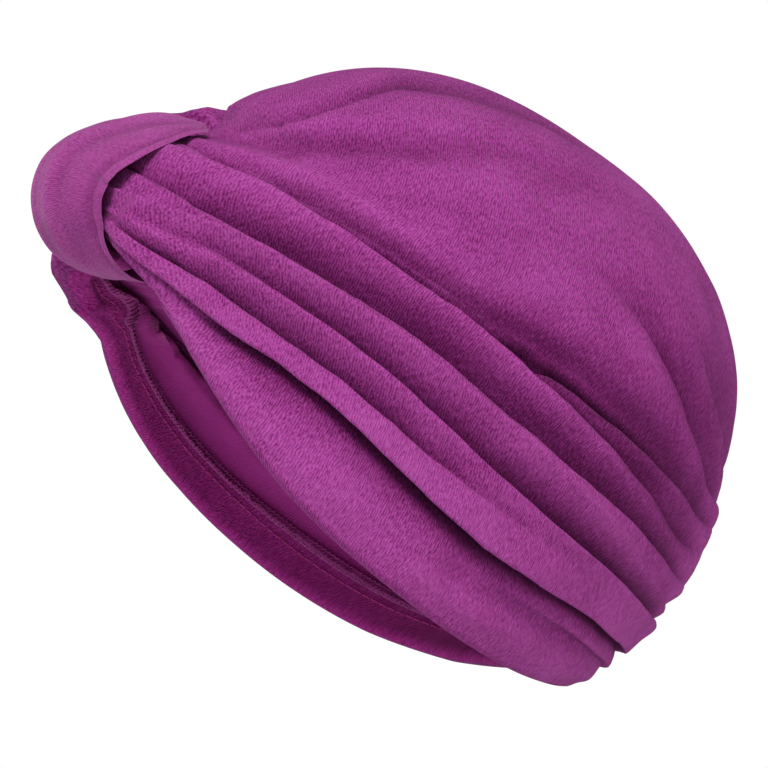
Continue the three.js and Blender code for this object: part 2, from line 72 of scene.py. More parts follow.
# name: (t at each station), (height at each station), reach up, reach down, point
FOLD_ROWS = {
    "top hollow": ((0.33, 0.304, 0.13, 0.11, 0.1, 0.1, 0.1), (-0.3, -1.4, -2.4, -1.4, 0, 0, 0), 0.04, 0.03, 2),
    "top ridge": ((0.36, 0.338, 0.278, 0.194, 0.17, 0.17, 0.17), (0.4, 1.2, 1.8, 1.3, 0, 0, 0), 0.02, 0.014, 1.5),
    "second hollow": ((0.39, 0.365, 0.312, 0.206, 0.2, 0.2, 0.2), (-0.4, -1.4, -2.4, -1.2, 0, 0, 0), 0.03, 0.04, 2),
    "upper ridge": ((0.475, 0.453, 0.434, 0.444, 0.44, 0.44, 0.44), (1.0, 2.4, 2.8, 1.6, 0.4, 0, 0), 0.025, 0.018, 1.6),
    "main crease": ((0.49, 0.476, 0.47, 0.464, 0.428, 0.426, 0.44), (-0.8, -2.4, -4.0, -5.4, -8.0, -6.6, 0), 0.032, 0.016, 1.1),
    "second crease": ((0.5, 0.484, 0.474, 0.466, 0.464, 0.488, 0.51), (0, 0, 0, 0, -5.4, -5.0, 0), 0.014, 0.014, 1.3),
    "first ridge": ((0.55, 0.53, 0.501, 0.488, 0.508, 0.538, 0.575), (0.8, 1.8, 2.4, 2.4, 2.4, 2.2, 1.0), 0.014, 0.04, 1.6),
    "long hollow": ((0.66, 0.63, 0.59, 0.552, 0.564, 0.567, 0.63), (-1.2, -3.2, -5.4, -7.0, -7.4, -6.0, -2), 0.05, 0.015, 1.5),
    "second ridge": ((0.82, 0.766, 0.648, 0.611, 0.622, 0.662, 0.7), (1.2, 2.0, 2.2, 2.0, 2.0, 2.4, 2.0), 0.014, 0.035, 1.6),
    "soft hollow": ((0.85, 0.81, 0.69, 0.664, 0.686, 0.692, 0.72), (0, -0.5, -2.2, -3.8, -4.8, -4.4, 0), 0.035, 0.03, 1.8),
    "third ridge": ((0.89, 0.86, 0.758, 0.7, 0.735, 0.75, 0.765), (0.3, 0.6, 1.4, 1.4, 0.6, 1.6, 2.2), 0.02, 0.03, 1.8),
    "short crease": ((0.92, 0.9, 0.808, 0.768, 0.78, 0.78, 0.79), (0, -1.0, -5.2, -4.4, -0.8, 0, 0), 0.035, 0.014, 1.2),
    "fourth ridge": ((0.965, 0.955, 0.9, 0.834, 0.856, 0.828, 0.83), (0.8, 1.4, 1.8, 2.0, 2.2, 2.2, 1.2), 0.045, 0.012, 1.8),
    "low crease": ((0.975, 0.968, 0.93, 0.862, 0.886, 0.85, 0.855), (-0.5, -1.0, -3.6, -6.6, -8.2, -7.6, -1.2), 0.012, 0.026, 1.15),
    "low lobe": ((0.985, 0.985, 0.972, 0.962, 0.925, 0.885, 0.885), (0.4, 0.8, 2.2, 2.6, 1.8, 2.6, 2.6), 0.03, 0.05, 2),
    "low hollow": ((0.985, 0.985, 0.975, 0.97, 0.94, 0.91, 0.91), (0, 0, 0, 0, -2.0, -3.2, -1.5), 0.02, 0.02, 1.7),
    "hem lobe": ((0.99, 0.99, 0.985, 0.975, 0.965, 0.954, 0.95), (0, 0, 0, 0, 1.2, 1.2, 0.8), 0.03, 0.03, 2),
    "back ridge": ((0.38, 0.38, 0.38, 0.38, 0.38, 0.396, 0.41), (0, 0, 0, 0, 1.0, 1.4, 1), 0.02, 0.03, 1.8),
    "back hollow": ((0.3, 0.3, 0.3, 0.3, 0.31, 0.35, 0.37), (0, 0, 0, 0, -1.6, -4.8, -1), 0.03, 0.022, 1.6),
    "back upper ridge": ((0.27, 0.27, 0.27, 0.27, 0.285, 0.318, 0.34), (0, 0, 0, 0, 0.6, 1.2, 0.8), 0.025, 0.02, 1.8),
    "back upper hollow": ((0.2, 0.2, 0.2, 0.2, 0.25, 0.285, 0.3), (0, 0, 0, 0, 0, -2.8, -0.8), 0.03, 0.02, 1.7),
    "back top fall": ((0.12, 0.12, 0.12, 0.12, 0.15, 0.24, 0.26), (0, 0, 0, 0, 0, -1.6, -1), 0.03, 0.03, 1.8),
    "back top swell": ((0.1, 0.1, 0.1, 0.1, 0.1, 0.14, 0.15), (0, 0, 0, 0, 0.9, 0.9, 0), 0.05, 0.04, 2),
}
# rows of the cloth: the fold each block of rows ends at, and its cells outside and inside
GRID_ROWS = [
    ("back hollow", 16, 8), ("main crease", 32, 6), ("first ridge", 8, 3), ("long hollow", 10, 4), ("second ridge", 6, 3), ("soft hollow", 9, 4), ("third ridge", 6, 3),
    ("short crease", 10, 4), ("fourth ridge", 8, 4), ("low crease", 6, 3), ("low end", 10, 4),
]
LOW_END = (0.985, 0.98, 0.96, 0.935, 0.935, 0.93, 0.93)
HEM_TOP = (0.94, 0.955, 0.938, 0.935, 0.935, 0.932, 0.925)
# the far side's gathers: the rim hangs lower and further out beside the loop (s: out, down), and the cloth swells behind the loop's top (height: out)
HANG_ROWS = {0.089: (0, 0), 0.109: (5.9, 6.2), 0.125: (7.7, 7.4), 0.16: (6, 7), 0.19: (3, 3.5), 0.23: (0, 0), 0.3: (0, -0.8), 0.4: (0, -1.5), 0.48: (0, -1.3), 0.58: (0, 0), 0.65: (0, 1), 0.75: (0, 2.3), 0.85: (0, 2.5), 0.94: (0, 0)}
HANG_FROM, HANG_TO = 0.88, 0.98
SWELL_ROWS = {36: 0, 48: 4, 58: 11, 66: 18.5, 73: 21.5, 79: 17, 85: 7, 90: 1.5, 95: 0}
SWELL = {"x": 38, "half_width": 12, "from": 24, "to": 33}
TUCK = 0.95  # how far a fold's crest leans over the hollow above it, for each millimetre of height
# the tight line where a crest lies over the hollow beside it: (shift towards the crest, share of the hollow's depth), half a row wide
SLITS = {"top hollow": (0.002, 0.5), "main crease": (0.004, 0.75), "second crease": (0.003, 0.6), "long hollow": (0.004, 0.55), "soft hollow": (0.004, 0.5), "short crease": (0.003, 0.7), "low crease": (0.003, 0.7), "back hollow": (0.003, 0.6)}
SLIT_REACH = 0.0085
# a narrow strip of cloth above the main crease: shift from it, height at the stations, reach
STRIP_ROWS = {
    "strip hollow": (-0.0185, (0, -0.8, -2.2, -2.6, -1.2, 0, 0), 0.0075),
    "strip ridge": (-0.0085, (0, 0.8, 1.6, 1.8, 0.8, 0, 0), 0.0055),
}
# the near side's rim stands a little further out beside the loop (s: out)
NEAR_ROWS = {0.086: 0, 0.1: 4.2, 0.115: 5.0, 0.135: 3.4, 0.165: 0.8, 0.19: 0}
CALM = {"height": 1.5, "share": 0.85}  # the folds run out at the middle of the back
COLUMNS = 230
LOOP_ROWS = np.array([  # y, z, half width, thickness, curl
    (-94.9, 43, 17, 2.2, -3.0), (-94.9, 34, 19, 2.2, -3.4), (-96.2, 25.6, 20, 2.2, -3.0), (-102.0, 19.2, 21.5, 2.0, -0.2), (-110.5, 15.6, 23, 2.2, 4.0),
    (-120.5, 14.8, 24, 2.8, 9.4), (-129.8, 18.4, 25, 3.2, 11), (-136.6, 25.6, 25.5, 3.2, 11.5), (-139.8, 35.2, 25.5, 3.2, 12.2), (-138.2, 43.9, 25.5, 3.2, 11.6),
    (-133.5, 52.0, 25, 3.2, 10), (-128.0, 59.0, 24, 3.0, 8.2), (-121.0, 65.3, 21.5, 2.8, 5.6), (-113.6, 69.8, 18, 2.4, 2.8), (-110.6, 71.5, 14.5, 2.2, 2.4),
])


# ---------- small helpers ----------
def smoothstep(x, a, b):
    f = np.clip((x - a) / (b - a), 0, 1)
    return f * f * (3 - 2 * f)


def unit(v):
    return v / np.maximum(np.linalg.norm(v, axis=-1, keepdims=True), 1e-12)


def along(values, s):
    v = np.asarray(values, float)
    i = np.clip(np.searchsorted(STATIONS, s, side="right") - 1, 0, len(STATIONS) - 2)
    d = np.diff(v) / np.diff(STATIONS)
    m = np.zeros(len(v))
    l, r = d[:-1], d[1:]
    m[1:-1] = np.where(l * r <= 0, 0, 2 * l * r / np.where(l + r == 0, 1, l + r))
    h = STATIONS[i + 1] - STATIONS[i]
    f = (s - STATIONS[i]) / h
    f2, f3 = f * f, f * f * f
    return (2 * f3 - 3 * f2 + 1) * v[i] + (f3 - 2 * f2 + f) * h * m[i] + (3 * f2 - 2 * f3) * v[i + 1] + (f3 - f2) * h * m[i + 1]


# a smooth repeatable noise in two dimensions, from a seeded table
LATTICE = np.random.default_rng(7).random((64, 64))


def noise2(x, y):
    i, j = np.floor(x).astype(int), np.floor(y).astype(int)
    f, g = x - i, y - j
    f, g = f * f * (3 - 2 * f), g * g * (3 - 2 * g)
    a, b = LATTICE[i % 64, j % 64], LATTICE[(i + 1) % 64, j % 64]
    c, d = LATTICE[i % 64, (j + 1) % 64], LATTICE[(i + 1) % 64, (j + 1) % 64]
    return 2 * ((a * (1 - f) + b * f) * (1 - g) + (c * (1 - f) + d * f) * g) - 1


# ---------- the cap's outline surface ----------
def bundle(x, z):
    return BUNDLE["out"] * np.exp(-(np.abs(x / BUNDLE["half_width"]) ** 3)) * np.interp(z, list(BUNDLE_ROWS), list(BUNDLE_ROWS.values()))


def level(p):
    x, y, z = p[..., 0], p[..., 1], p[..., 2]
    y = np.where(y < 0, np.minimum(y + bundle(x, z), 0), y)
    above, below = np.maximum(z - WIDEST_Z, 0), np.maximum(WIDEST_Z - z, 0) / LOWER_DEPTH
    yc = y - LEAN * above
    ax, ay = np.abs(x) / HALF_WIDTH, np.abs(yc) / np.where(yc < 0, FRONT_LENGTH, BACK_LENGTH)
    plan = (ax**PLAN_POWER + ay**PLAN_POWER) ** (1 / PLAN_POWER)
    lengthwise = (ay / (ax + ay + 1e-9)) ** 2
    drawn = np.where(yc < 0, DRAW_IN["front"], DRAW_IN["back"]) * lengthwise + DRAW_IN["side"] * (1 - lengthwise)
    return (plan / (1 - drawn * below * below)) ** DOME_POWER + (above / DOME_HEIGHT) ** DOME_POWER


def reach(start, way, most=260.0):
    lo = np.zeros(np.broadcast(start[..., 0], way[..., 0]).shape)
    hi = lo + most
    for _ in range(36):
        m = (lo + hi) / 2
        inside = level(start + m[..., None] * way) < 1
        lo, hi = np.where(inside, m, lo), np.where(inside, hi, m)
    return start + lo[..., None] * way


def plane_of(t):
    rows = np.array(LINE_ROWS)
    zf, side, zb = (np.interp(t, rows[:, 0], rows[:, k]) for k in (1, 2, 3))
    side, o = np.radians(side), np.zeros_like(t)
    a = reach(np.stack([o, o, zf], -1), np.stack([o, o - 1, o], -1))
    b = reach(np.stack([o, o, zb], -1), np.stack([o, o + 1, o], -1))
    m = reach(np.stack([o, o, o + EYE_Z], -1), np.stack([np.sin(side), o, np.cos(side)], -1))
    mid, e1 = (a + b) / 2, unit(b - a)
    e2 = m - mid
    e2 = unit(e2 - (e2 * e1).sum(-1, keepdims=True) * e1)
    return mid, e1, e2


def cut(s, t):
    mid, e1, e2 = plane_of(t)
    a = (np.pi * s)[..., None]
    return reach(mid, -np.cos(a) * e1 + np.sin(a) * e2)


def rim_height(x, y):
    c = -y / np.hypot(x, y)
    return RIM_Z["side"] * (1 - c * c) + np.where(c > 0, RIM_Z["front"], RIM_Z["back"]) * c**4


def base(s, t):
    p, low = cut(s, t), cut(s, np.ones_like(t))
    w = np.clip((t - 0.4) / 0.6, 0, 1) ** 3
    z = p[..., 2] + w * (rim_height(low[..., 0], low[..., 1]) - low[..., 2])
    o = np.zeros_like(z)
    q = reach(np.stack([o, o, z], -1), unit(np.stack([p[..., 0], p[..., 1], o], -1)))
    return np.where((t <= 0.4)[..., None], p, q)


def normal_at(p):
    e = 0.4 * np.eye(3)
    return unit(np.stack([level(p + e[k]) - level(p - e[k]) for k in range(3)], -1))


def ease(t):
    return EASE["low"] * smoothstep(t, EASE["from"], EASE["to"])


def fold_height(s, t, side):
    far = np.sin(np.pi * s) if side < 0 else np.zeros_like(s)
    at = t + far * 0.012 * np.sin(7 * s + 1) * np.sin(np.pi * t)
    at = at + 0.0016 * noise2(34 * s + 3, 5 * t + 2) + 0.0009 * noise2(110 * s + 9, 9 * t)
    h = ease(t) * np.ones_like(s) + 0.3 * noise2(26 * s + 5, 34 * t + 7) * smoothstep(t, 0.05, 0.2) * (1 - smoothstep(t, 0.9, 0.97))
    for shift, high, reach in STRIP_ROWS.values():
        h += along(high, s) * np.exp(-(((at - along(FOLD_ROWS["main crease"][0], s) - shift) / reach) ** 2))
    for where, high, reach_up, reach_down, point in FOLD_ROWS.values():
        d = at - along(where, s)
        h += along(high, s) * (1 - 0.12 * far) * np.exp(-(np.abs(d / np.where(d < 0, reach_up, reach_down)) ** point))
    for name, (shift, share) in SLITS.items():
        where, high = FOLD_ROWS[name][:2]
        h += share * np.minimum(along(high, s), 0) * smoothstep(s, 0.04, 0.16) * np.exp(-(((at - along(where, s) - shift) / SLIT_REACH) ** 2))
    still = CALM["share"] * smoothstep(s, 0.82, 0.92) * smoothstep(t, 0.3, 0.42) * (1 - smoothstep(t, 0.63, 0.67))
    return h + (CALM["height"] - h) * still


def over_under(s, t):
    """-1 where a crest leans up over the hollow above it, +1 where it hangs down over the crease below it."""
    high = along(FOLD_ROWS["short crease"][0], s)
    low = along(FOLD_ROWS["fourth ridge"][0], s)
    return 2 * smoothstep(t, high + 0.2 * (low - high), low - 0.1 * (low - high)) - 1


def hem_share(s, t):
    top = along(HEM_TOP, s)
    return smoothstep(t, top - 0.014, top + 0.01)


def cloth(s, t, side, inside, above=0.0, flat_hem=None):
    p = base(s, t)
    n = normal_at(p)
    fold = fold_height(s, t, side)
    if inside:
        hem = hem_share(s, t) if flat_hem is None else flat_hem
        # above the hem the inner face runs under the deepest hollow nearby, so a crest that leans over keeps its cloth
        apart = 1 - smoothstep(t, along(HEM_TOP, s) - 0.075, along(HEM_TOP, s) - 0.03)
        deep = fold.copy()
        for k in (-1, -0.75, -0.5, -0.25, 0.25, 0.5, 0.75, 1):
            deep = np.minimum(deep, fold_height(s, np.clip(t + 0.034 * k * apart, 0, 1), side))
        h = deep + (ease(t) - deep) * HEM_CALM * hem - (WALL + (HEM - WALL) * hem) - above
    else:
        h = fold
    p = p + n * h[..., None]
    if inside:
        p[..., 1] += np.where(p[..., 1] < 0, BUNDLE["kept"] * bundle(p[..., 0], p[..., 2]), 0)
    lean = TUCK * over_under(s, t) * np.clip(fold - ease(t), -6.5, 2.5) * smoothstep(t, 0.1, 0.25) * (1 - smoothstep(t, 0.94, 1.0)) * smoothstep(s, 0.0, 0.12) * (1 - smoothstep(s, 0.9, 1.0))
    down_way = unit(base(s, np.minimum(t + 0.004, 1.004)) - base(s, t - 0.004))
    p = p + down_way * (lean * (0.35 * (1 - apart) if inside else 1.0))[..., None]
    if side > 0:
        p[..., 1] -= smoothstep(t, 0.66, 0.9) * np.interp(s, list(NEAR_ROWS), list(NEAR_ROWS.values()))
    if side < 0:
        low = smoothstep(t, HANG_FROM, HANG_TO)
        out_by, down_by = (low * np.interp(s, list(HANG_ROWS), [row[k] for row in HANG_ROWS.values()]) for k in (0, 1))
        swell = np.interp(p[..., 2], list(SWELL_ROWS), list(SWELL_ROWS.values())) * np.exp(-(((p[..., 0] - SWELL["x"]) / SWELL["half_width"]) ** 2)) * smoothstep(p[..., 0], SWELL["from"], SWELL["to"]) * (p[..., 1] < 0)
        p = np.stack([-p[..., 0], p[..., 1] - out_by - swell, p[..., 2] - down_by], -1)
    return p


# ---------- meshes ----------
def mesh_object(name, points, faces, slots=None, materials=(), attributes=None):
    mesh = bpy.data.meshes.new(name)
    mesh.from_pydata((np.asarray(points) * MM).tolist(), [], np.asarray(faces).tolist())
    mesh.update()
    if slots is not None:
        mesh.polygons.foreach_set("material_index", np.asarray(slots, np.int32))
    mesh.polygons.foreach_set("use_smooth", np.ones(len(mesh.polygons), bool))
    for m in materials:
        mesh.materials.append(m)
    for key, value in (attributes or {}).items():
        value = np.asarray(value, np.float32)
        kind = "FLOAT_VECTOR" if value.ndim == 2 else "FLOAT"
        mesh.attributes.new(key, kind, "POINT").data.foreach_set("vector" if value.ndim == 2 else "value", value.ravel())
    o = bpy.data.objects.new(name, mesh)
    bpy.context.scene.collection.objects.link(o)
    return o


# tubes along many short paths at once: paths (n, k, 3), a normal for each path point, radius
def tubes(paths, normals, radius, sides=6, flat=1.0):
    n, k, _ = paths.shape
    tangent = unit(np.gradient(paths, axis=1))
    side = unit(np.cross(tangent, normals))
    out = np.cross(side, tangent)
    a = 2 * np.pi * np.arange(sides) / sides
    r = np.asarray(radius) * np.ones((n, k))
    ring = side[:, :, None] * np.cos(a)[:, None] + out[:, :, None] * np.sin(a)[:, None] * flat
    points = paths[:, :, None] + ring * r[:, :, None, None]
    index = np.arange(n * k * sides).reshape(n, k, sides)
    nxt = np.roll(index, -1, axis=2)
    quads = np.stack([index[:, :-1], nxt[:, :-1], nxt[:, 1:], index[:, 1:]], -1).reshape(-1, 4)
    faces = quads.tolist()
    for end, turn_round in ((0, True), (k - 1, False)):
        for ring_ids in index[:, end]:
            ids = ring_ids.tolist()
            faces.append(ids[::-1] if turn_round else ids)
    return points.reshape(-1, 3), faces


def make_object(name, points, faces, material):
    mesh = bpy.data.meshes.new(name)
    mesh.from_pydata((np.asarray(points) * MM).tolist(), [], faces)
    mesh.update()
    mesh.polygons.foreach_set("use_smooth", np.ones(len(mesh.polygons), bool))
    mesh.materials.append(material)
    o = bpy.data.objects.new(name, mesh)
    bpy.context.scene.collection.objects.link(o)
    return o


# ---------- materials ----------
class Graph:
    def __init__(self, name):
        self.material = bpy.data.materials.new(name)
        self.material.use_nodes = True
        self.tree = self.material.node_tree
        self.shader = self.tree.nodes["Principled BSDF"]

    def node(self, kind, _inputs=None, **settings):
        n = self.tree.nodes.new(kind)
        for k, v in settings.items():
            setattr(n, k, v)
        for k, v in (_inputs or {}).items():
            if isinstance(v, bpy.types.NodeSocket):
                self.tree.links.new(v, n.inputs[k])
            else:
                n.inputs[k].default_value = v
        return n

    def math(self, kind, a, b=0.0, c=0.0, clamp=False):
        return self.node("ShaderNodeMath", {0: a, 1: b, 2: c}, operation=kind, use_clamp=clamp).outputs[0]

    def scaled(self, vector, scale):
        return self.node("ShaderNodeVectorMath", {0: vector, 1: scale}, operation="MULTIPLY").outputs[0]

    def added(self, a, b):
        return self.node("ShaderNodeVectorMath", {0: a, 1: b}, operation="ADD").outputs[0]

    def ramp(self, value, stops):
        n = self.node("ShaderNodeValToRGB", {0: value})
        while len(n.color_ramp.elements) < len(stops):
            n.color_ramp.elements.new(0.5)
        for e, (at, colour) in zip(n.color_ramp.elements, stops):
            e.position = at
            e.color = (*colour, 1) if len(colour) == 3 else colour
        return n.outputs[0]

    def mix(self, factor, a, b, kind="MIX"):
        n = self.node("ShaderNodeMix", {0: factor, 6: a, 7: b}, data_type="RGBA", blend_type=kind)
        return n.outputs[2]

    def link(self, a, socket):
        self.tree.links.new(a, self.shader.inputs[socket])


def rgb(r, g, b):
    return tuple(((v / 255 + 0.055) / 1.055) ** 2.4 if v > 10 else v / 255 / 12.92 for v in (r, g, b))


# terry: short loops in rows that run across the folds; cloth is (along the fold, across it, drift) in millimetres
def terry(name, deep, body, tip, height=0.42, row=0.56, sheen=0.1):
    g = Graph(name)
    cloth_at = g.node("ShaderNodeAttribute", attribute_name="cloth").outputs["Vector"]
    # the ridge attribute is fold height, used below to paint shade into hollows and highlight onto crests
    ridge = g.node("ShaderNodeAttribute", attribute_name="ridge").outputs["Fac"]
    wobble = g.node("ShaderNodeTexNoise", {"Vector": g.scaled(cloth_at, (0.3, 0.3, 0.3)), "Scale": 1.0, "Detail": 2.0}, noise_dimensions="3D").outputs["Fac"]
    place = g.node("ShaderNodeSeparateXYZ", {0: cloth_at})
    leaning = g.math("MULTIPLY_ADD", place.outputs[1], -0.25, place.outputs[0])
    dashes = g.node("ShaderNodeTexNoise", {"Vector": g.node("ShaderNodeCombineXYZ", {0: g.math("MULTIPLY", leaning, 1.15 / row), 1: g.math("MULTIPLY", place.outputs[1], 0.34 / row), 2: 0.0}).outputs[0], "Scale": 1.0, "Detail": 2.0, "Roughness": 0.45}, noise_dimensions="2D").outputs["Fac"]
    phase = g.math("MULTIPLY_ADD", g.math("MULTIPLY_ADD", wobble, 1.6, g.math("MULTIPLY", dashes, 1.1)), 6.2832, g.math("MULTIPLY", leaning, 6.2832 / (1.15 * row)))
    rows = g.math("MULTIPLY_ADD", g.math("SINE", phase), 0.5, 0.5)
    fine = g.node("ShaderNodeTexNoise", {"Vector": g.scaled(cloth_at, (2.3, 1.9, 1.0)), "Scale": 1.0, "Detail": 3.0, "Roughness": 0.65}, noise_dimensions="3D").outputs["Fac"]
    broad = g.node("ShaderNodeTexNoise", {"Vector": g.scaled(cloth_at, (0.045, 0.07, 0.05)), "Scale": 1.0, "Detail": 3.0, "Roughness": 0.6}, noise_dimensions="3D").outputs["Fac"]
    pile = g.math("MULTIPLY_ADD", rows, 0.5, g.math("MULTIPLY_ADD", g.math("SUBTRACT", dashes, 0.5), 1.5, 0.3))
    pile = g.math("MULTIPLY_ADD", g.math("SUBTRACT", fine, 0.5), 0.7, pile)
    # painted highlight and shade: the ridge attribute lifts the tone on fold crests and lowers it in hollows
    shade = g.math("MULTIPLY_ADD", g.math("SUBTRACT", broad, 0.5), 0.6, g.math("MULTIPLY_ADD", ridge, 0.22, g.math("MULTIPLY_ADD", pile, 0.8, 0.05)))
    colour = g.ramp(shade, [(0.0, deep), (0.5, body), (1.0, tip)])
    # painted shade: colour darkened where the ridge attribute is below zero, in fold hollows, loop grooves and the
    # turned-in rows
    painted_crease_shade = g.node("ShaderNodeMapRange", {"Value": ridge, "From Min": -1.15, "From Max": 0.0, "To Min": 0.64, "To Max": 1.0}).outputs["Result"]
    colour = g.node("ShaderNodeVectorMath", {0: colour, 1: g.node("ShaderNodeCombineXYZ", {0: painted_crease_shade, 1: g.math("POWER", painted_crease_shade, 1.5), 2: g.math("POWER", painted_crease_shade, 1.08)}).outputs[0]}, operation="MULTIPLY").outputs[0]
    g.link(colour, "Base Color")
    bump = g.node("ShaderNodeBump", {"Strength": 0.9, "Distance": height * MM, "Height": pile})
    g.link(bump.outputs[0], "Normal")
    g.shader.inputs["Roughness"].default_value = 0.95
    g.shader.inputs["Specular IOR Level"].default_value = 0.06
    g.shader.inputs["Sheen Weight"].default_value = sheen
    g.shader.inputs["Sheen Roughness"].default_value = 0.42
    g.shader.inputs["Sheen Tint"].default_value = (1.0, 0.5, 0.88, 1)
    return g.material


# the smooth reverse face: very fine ribs
def jersey(name, deep, body):
    g = Graph(name)
    cloth_at = g.node("ShaderNodeAttribute", attribute_name="cloth").outputs["Vector"]
    wobble = g.node("ShaderNodeTexNoise", {"Vector": g.scaled(cloth_at, (0.3, 0.1, 0.3)), "Scale": 1.0, "Detail": 2.0}, noise_dimensions="3D").outputs["Color"]
    at = g.added(g.scaled(cloth_at, (1 / 0.85, 1 / 3.0, 0.2)), g.scaled(wobble, (1.2, 0.5, 0)))
    ribs = g.node("ShaderNodeTexWave", {"Vector": at, "Scale": 1.0 / 6.2832 * 6.2832 / 1.0 * 0.318, "Distortion": 0.5, "Detail": 1.0}, wave_type="BANDS", bands_direction="X").outputs["Fac"]
    fine = g.node("ShaderNodeTexNoise", {"Vector": g.scaled(cloth_at, (2.6, 2.2, 1.0)), "Scale": 1.0, "Detail": 2.0}, noise_dimensions="3D").outputs["Fac"]
    broad = g.node("ShaderNodeTexNoise", {"Vector": g.scaled(cloth_at, (0.05, 0.05, 0.05)), "Scale": 1.0, "Detail": 2.0}, noise_dimensions="3D").outputs["Fac"]
    high = g.math("MULTIPLY_ADD", fine, 0.5, ribs)
    g.link(g.mix(g.math("MULTIPLY_ADD", broad, 0.6, g.math("MULTIPLY", high, 0.35), clamp=True), (*deep, 1), (*body, 1)), "Base Color")
    g.link(g.node("ShaderNodeBump", {"Strength": 0.6, "Distance": 0.22 * MM, "Height": high}).outputs[0], "Normal")
    g.shader.inputs["Roughness"].default_value = 0.85
    g.shader.inputs["Specular IOR Level"].default_value = 0.2
    g.shader.inputs["Sheen Weight"].default_value = 0.2
    g.shader.inputs["Sheen Roughness"].default_value = 0.4
    g.shader.inputs["Sheen Tint"].default_value = (1.0, 0.6, 0.95, 1)
    return g.material


def thread(name, dark, light):
    g = Graph(name)
    place = g.node("ShaderNodeTexCoord").outputs["Object"]
    twist = g.node("ShaderNodeTexWave", {"Vector": place, "Scale": 900.0, "Distortion": 3.0, "Detail": 1.0}, bands_direction="DIAGONAL").outputs["Fac"]
    patch = g.node("ShaderNodeTexNoise", {"Vector": place, "Scale": 260.0, "Detail": 2.0}).outputs["Fac"]
    g.link(g.mix(g.math("MULTIPLY_ADD", patch, 0.8, g.math("MULTIPLY", twist, 0.3), clamp=True), (*dark, 1), (*light, 1)), "Base Color")
    g.link(g.node("ShaderNodeBump", {"Strength": 0.5, "Distance": 0.1 * MM, "Height": twist}).outputs[0], "Normal")
    g.shader.inputs["Roughness"].default_value = 0.6
    g.shader.inputs["Specular IOR Level"].default_value = 0.35
    g.shader.inputs["Sheen Weight"].default_value = 0.1
    return g.material


TERRY = terry("terry", rgb(104, 24, 86), rgb(147, 55, 130), rgb(168, 77, 152))
# a lighter copy of the terry for the turned-in hem facing: painted light that brightens the shaded inside
LIGHTENED_HEM_TERRY = terry("hem_terry_painted_light", rgb(128, 22, 102), rgb(166, 46, 136), rgb(186, 66, 158))
LOOP_TERRY = terry("loop_terry", rgb(118, 36, 100), rgb(144, 60, 127), rgb(160, 76, 142), height=0.24, row=0.6, sheen=0.3)
JERSEY = jersey("jersey", rgb(124, 20, 102), rgb(170, 50, 142))
OVERLOCK = thread("overlock_thread", rgb(112, 16, 90), rgb(176, 62, 150))
STITCH = thread("stitch_thread", rgb(132, 14, 96), rgb(182, 44, 136))

# ---------- crown ----------
stations = np.arange(COLUMNS + 1) / COLUMNS
stations = stations - 0.05 * np.sin(2 * np.pi * stations)


def row_lines(s, inside):
    ts = [np.zeros_like(s)]
    for name, outer_steps, inner_steps in GRID_ROWS:
        to = along(LOW_END if name == "low end" else FOLD_ROWS[name][0], s)
        steps = inner_steps if inside else outer_steps
        start = ts[-1]
        ts += [start + (to - start) * k / steps for k in range(1, steps + 1)]
    start, steps = ts[-1], 3 if inside else 8
    ts += [start + (1 - start) * k / steps for k in range(1, steps + 1)]
    return np.stack(ts, 1)


T_OUT = row_lines(stations, False)
S_OUT = np.repeat(stations[:, None], T_OUT.shape[1], 1)
top_line = along(HEM_TOP, stations)
# inside rows, from the rim up: the turned-in hem, its edge, then the smooth face to the top
hem_rows = np.stack([1 + (top_line + 0.006 - 1) * k / 9 for k in range(10)], 1)
edge_rows = np.stack([top_line + 0.003, top_line, top_line - 0.004], 1)
t_in = row_lines(stations, True)[:, ::-1]
upper = []
count_up = 44
even = np.linspace(0, 1, count_up + 1)[1:]
T_ALL = row_lines(stations, True)
for k in range(count_up):
    # walks the inside lines from the hem's edge to the top
    f = even[k]
    src = np.linspace(0, 1, T_ALL.shape[1])
    want = np.empty(COLUMNS + 1)
    for i in range(COLUMNS + 1):
        start = np.interp(top_line[i] - 0.004, T_ALL[i], src)
        want[i] = np.interp(start * (1 - f), src, T_ALL[i])
    upper.append(want)
T_IN = np.concatenate([hem_rows, edge_rows, np.stack(upper, 1)], 1)
S_IN = np.repeat(stations[:, None], T_IN.shape[1], 1)
HEM_ROWS, EDGE_ROWS = hem_rows.shape[1], edge_rows.shape[1]
flat_hem = np.concatenate([np.ones_like(hem_rows), np.array([0.8, 0.35, 0.05])[None] * np.ones((COLUMNS + 1, 1)), np.zeros((COLUMNS + 1, count_up))], 1)


def lengths(p, axis):
    d = np.linalg.norm(np.diff(p, axis=axis), axis=-1)
    zero = np.zeros_like(np.take(d, [0], axis=axis))
    return np.concatenate([zero, np.cumsum(d, axis=axis)], axis=axis)


ROLL_ROWS = 7


def side_grid(side):
    outer = cloth(S_OUT, T_OUT, side, False)
    inner = cloth(S_IN, T_IN, side, True, 0.0, flat_hem)
    a, b = outer[:, -1], inner[:, 0]
    mid, half = (a + b) / 2, (a - b) / 2
    down = np.array([0, 0, -1.0]) - unit(half) * (unit(half) * np.array([0, 0, -1.0])).sum(-1, keepdims=True)
    down = unit(down) * HEM * 0.5
    roll = [mid + half * math.cos(math.pi * k / (ROLL_ROWS + 1)) + down * math.sin(math.pi * k / (ROLL_ROWS + 1)) for k in range(1, ROLL_ROWS + 1)]
    return np.concatenate([outer, np.stack(roll, 1), inner], 1)


grids = {side: side_grid(side) for side in (1, -1)}
OUT_N, IN_N = T_OUT.shape[1], T_IN.shape[1]
ALL_N = OUT_N + ROLL_ROWS + IN_N


